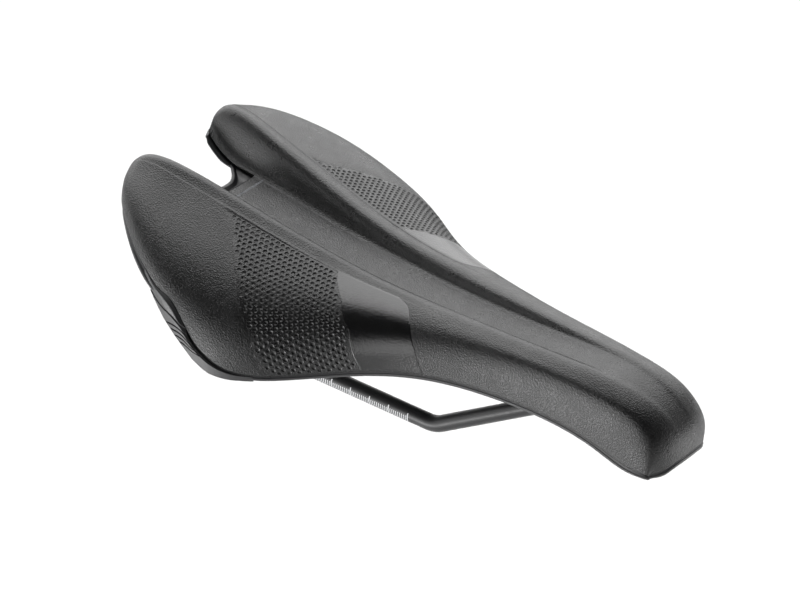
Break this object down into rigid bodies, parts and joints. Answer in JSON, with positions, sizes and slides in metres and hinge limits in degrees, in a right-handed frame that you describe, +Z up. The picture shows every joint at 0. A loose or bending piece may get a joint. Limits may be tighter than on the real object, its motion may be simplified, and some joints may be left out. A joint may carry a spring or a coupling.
{
  "type": "bicycle saddle",
  "caption": "Bicycle saddle with a padded cover over two wings, a central relief channel open at the tail as a notch, a nylon shell and one bent steel rail for a seatpost clamp.",
  "frame": {"origin": "midway between the centrelines of the rail's two straight runs, at the middle of the clamp section", "axes": "+X towards the nose along the straight runs, +Z up, +Y towards the rider's left"},
  "size_m": [0.2644, 0.1484, 0.0766],
  "materials": {
    "nylon": "satin black moulded nylon",
    "foam": "grey open-cell polyurethane foam",
    "cover_skin": "fine-grained black synthetic leather, satin",
    "gel": "soft translucent gel",
    "grip_film": "dark grey bonded film, dimpled at the rear and smooth at the front",
    "guard_plastic": "ribbed black moulded plastic",
    "black_steel": "satin black coated steel with white scale ticks",
    "zinc": "zinc-plated steel"
  },
  "bodies": {
    "root": {"shell": "nylon", "foam_pad": "foam", "cover": "cover_skin", "sit_pad_left": "gel", "sit_pad_right": "gel", "grip_patch_left": "grip_film", "grip_patch_right": "grip_film", "scuff_guard_left": "guard_plastic", "scuff_guard_right": "guard_plastic", "rail": "black_steel", "rail_socket_left": "nylon", "rail_socket_right": "nylon", "socket_screw_left": "zinc", "socket_screw_right": "zinc", "nose_bridge": "nylon", "nose_keeper": "nylon", "nose_screw": "zinc", "accessory_mount": "nylon", "mount_screw_left": "zinc", "mount_screw_right": "zinc"}
  },
  "joints": []
}
